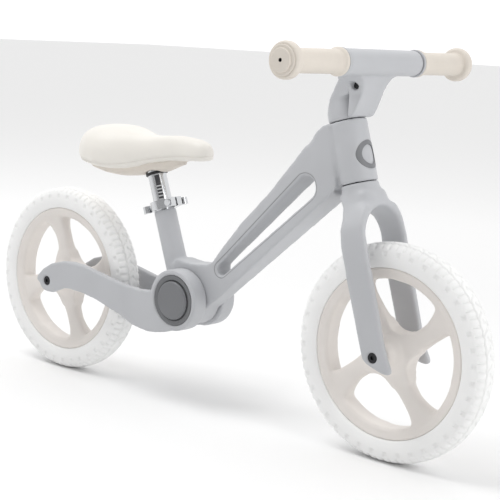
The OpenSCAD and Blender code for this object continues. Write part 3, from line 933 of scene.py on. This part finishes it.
class BIKE_OT_clamp(bpy.types.Operator):
    """Seat post with its scale, clamp collar, bolt, washer and cam lever."""

    bl_idname = "bike.clamp"
    bl_label = "Seat clamp"

    def execute(self, context):
        machined("chrome_post", "seat_post", "seat", material("chrome"), 0.0003, 30)
        machined("height_strip", "post_scale", "seat", material("scale"), 0.0001)
        machined("clamp_collar", "seat_collar", "frame", material("chrome"), 0.0009)
        machined("clamp_bolt", "collar_bolt", "frame", material("chrome"), 0.0007)
        machined("clamp_washer", "cam_washer", "frame", material("black"), 0.0005)
        machined("clamp_lever_arm", "cam_lever", "clamp_lever", material("chrome"),
                 0.0012, 35, 3)
        return {"FINISHED"}


HARDWARE = [
    ("headset_upper", "frame", "black_steel", "black_steel"),
    ("headset_lower", "frame", "black_steel", "black_steel"),
    ("hinge_axle", "frame", "steel", "steel"),
    ("hinge_bushes", "frame", "black", "black_plastic"),
    ("bridge_screws", "rear_arms", "black_steel", "black_steel"),
    ("rear_axle", "rear_arms", "steel", "steel"),
    ("rear_bolts", "rear_arms", "black_steel", "black_steel"),
    ("rear_spacers", "rear_arms", "black", "black_plastic"),
    ("rear_bearings", "rear_wheel", "steel", "steel"),
    ("steerer", "steering", "steel", "steel"),
    ("steering_stop", "steering", "steel", "steel"),
    ("stem_screws", "steering", "black_steel", "black_steel"),
    ("bar_tube", "steering", "steel", "steel"),
    ("front_axle", "steering", "steel", "steel"),
    ("front_bolts", "steering", "black_steel", "black_steel"),
    ("front_spacers", "steering", "black", "black_plastic"),
    ("front_bearings", "front_wheel", "steel", "steel"),
    ("head_badge", "frame", "badge", "button_grey"),
]


class BIKE_OT_hardware(bpy.types.Operator):
    """Axles, bolts, bearings and other turned pieces."""

    bl_idname = "bike.hardware"
    bl_label = "Hardware"

    def execute(self, context):
        for node, body, finish, slot in HARDWARE:
            width = 0.0002 if node in ("head_badge", "steering_stop") else 0.0004
            machined("made_" + node, node, body, material(finish), width)
        return {"FINISHED"}


# ------------------------------------------------------------------ stage

# The room is dimmer toward this side of the bike
DIM_SIDE = (0.20, -0.90, 0.38)
CAMERA_PLACE = (1.2349, -1.3973, 0.5456)
CAMERA_YAW = radians(40.1)
CAMERA_PITCH = radians(9.2)
CAMERA_ROLL = radians(2.9)
CAMERA_LENS = 94.43
CAMERA_SHIFT = (0.0022, -0.0090)
FLOOR_SIZE = 30.0


def lamp(name, place, target, size, power):
    """A round soft lamp that faces a target."""
    light = bpy.data.lights.new(name, "AREA")
    light.shape = "DISK"
    light.size = size
    light.energy = power
    obj = bpy.data.objects.new(name, light)
    bpy.context.scene.collection.objects.link(obj)
    obj.location = place
    obj.rotation_euler = (Vector(target) - Vector(place)).to_track_quat("-Z", "Y").to_euler()


def room_light(tree, strength):
    """White all round, dimmer on the bike's right, so its faces and plating keep some shade."""
    place = tree.nodes.new("ShaderNodeTexCoord")
    toward = tree.nodes.new("ShaderNodeVectorMath")
    toward.operation = "DOT_PRODUCT"
    toward.inputs[1].default_value = DIM_SIDE
    tree.links.new(place.outputs["Generated"], toward.inputs[0])
    fade = tree.nodes.new("ShaderNodeMapRange")
    fade.interpolation_type = "SMOOTHSTEP"
    for key, value in (("From Min", -0.2), ("From Max", 0.85), ("To Min", 1.12), ("To Max", 0.50)):
        fade.inputs[key].default_value = value
    tree.links.new(toward.outputs["Value"], fade.inputs["Value"])
    tree.links.new(fade.outputs["Result"], strength)


def add_camera(scene):
    """Looks at the bike's right side from ahead, a little from above."""
    ahead = Vector((
        -sin(CAMERA_YAW) * cos(CAMERA_PITCH), cos(CAMERA_YAW) * cos(CAMERA_PITCH),
        -sin(CAMERA_PITCH)))
    right = Vector((cos(CAMERA_YAW), sin(CAMERA_YAW), 0.0))
    up = right.cross(ahead)
    side = right * cos(CAMERA_ROLL) + up * sin(CAMERA_ROLL)
    top = up * cos(CAMERA_ROLL) - right * sin(CAMERA_ROLL)
    data = bpy.data.cameras.new("camera")
    data.sensor_width = 36.0
    data.lens = CAMERA_LENS
    data.shift_x, data.shift_y = CAMERA_SHIFT
    camera = bpy.data.objects.new("camera", data)
    scene.collection.objects.link(camera)
    turn = Matrix((side, top, -ahead)).transposed().to_4x4()
    camera.matrix_world = Matrix.Translation(CAMERA_PLACE) @ turn
    scene.camera = camera


class BIKE_OT_stage(bpy.types.Operator):
    """Pale floor, soft lights and the camera."""

    bl_idname = "bike.stage"
    bl_label = "Stage"

    def execute(self, context):
        scene = context.scene
        scene.view_settings.view_transform = "Standard"
        bm = bmesh.new()
        bmesh.ops.create_grid(bm, x_segments=8, y_segments=8, size=FLOOR_SIZE)
        mesh = bpy.data.meshes.new("floor")
        bm.to_mesh(mesh)
        bm.free()
        floor = bpy.data.objects.new("floor", mesh)
        scene.collection.objects.link(floor)
        r = Recipe("pale_floor")
        dust = r.noise(3.0, 2.0)
        spread = r.node("ShaderNodeVectorMath", {"operation": "LENGTH"}, {0: r.place()}, output=1)
        near = r.blend(dust, (0.86, 0.86, 0.86, 1.0), (0.88, 0.88, 0.88, 1.0))
        floor.data.materials.append(r.finish(
            Base_Color=r.blend(r.band(spread, 0.7, 2.4), near, (1.0, 1.0, 1.0, 1.0)),
            Roughness=0.9, Specular_IOR_Level=0.1))
        world = bpy.data.worlds.new("studio")
        world.use_nodes = True
        back = world.node_tree.nodes["Background"]
        back.inputs["Color"].default_value = (1.0, 1.0, 1.0, 1.0)
        room_light(world.node_tree, back.inputs["Strength"])
        scene.world = world
        lamp("key", (-0.9, -0.7, 2.6), (0.0, 0.0, 0.2), 1.6, 32.0)
        lamp("side", (2.2, -0.2, 1.2), (0.2, 0.0, 0.3), 1.2, 10.0)
        add_camera(scene)
        return {"FINISHED"}


OPERATORS = (
    BIKE_OT_stage, BIKE_OT_frame, BIKE_OT_arms, BIKE_OT_fork, BIKE_OT_stem, BIKE_OT_wheels,
    BIKE_OT_tyres, BIKE_OT_grips, BIKE_OT_hinge, BIKE_OT_saddle, BIKE_OT_clamp, BIKE_OT_hardware)


class BIKE_PT_panel(bpy.types.Panel):
    """Lists the bike's pieces in the sidebar."""

    bl_idname = "BIKE_PT_panel"
    bl_label = "Balance bike"
    bl_space_type = "VIEW_3D"
    bl_region_type = "UI"
    bl_category = "Bike"

    def draw(self, context):
        for group in (context.scene.bike_look, context.scene.bike_shape):
            for key in group.__annotations__:
                self.layout.prop(group, key)
        for operator in OPERATORS:
            self.layout.operator(operator.bl_idname)


CLASSES = (BikeLook, BikeShape) + OPERATORS + (BIKE_PT_panel,)


def register():
    for cls in CLASSES:
        bpy.utils.register_class(cls)
    bpy.types.Scene.bike_look = PointerProperty(type=BikeLook)
    bpy.types.Scene.bike_shape = PointerProperty(type=BikeShape)


def unregister():
    del bpy.types.Scene.bike_shape
    del bpy.types.Scene.bike_look
    for cls in reversed(CLASSES):
        bpy.utils.unregister_class(cls)


def main():
    register()
    for operator in OPERATORS:
        group, name = operator.bl_idname.split(".")
        getattr(getattr(bpy.ops, group), name)()


if __name__ == "__main__":
    main()
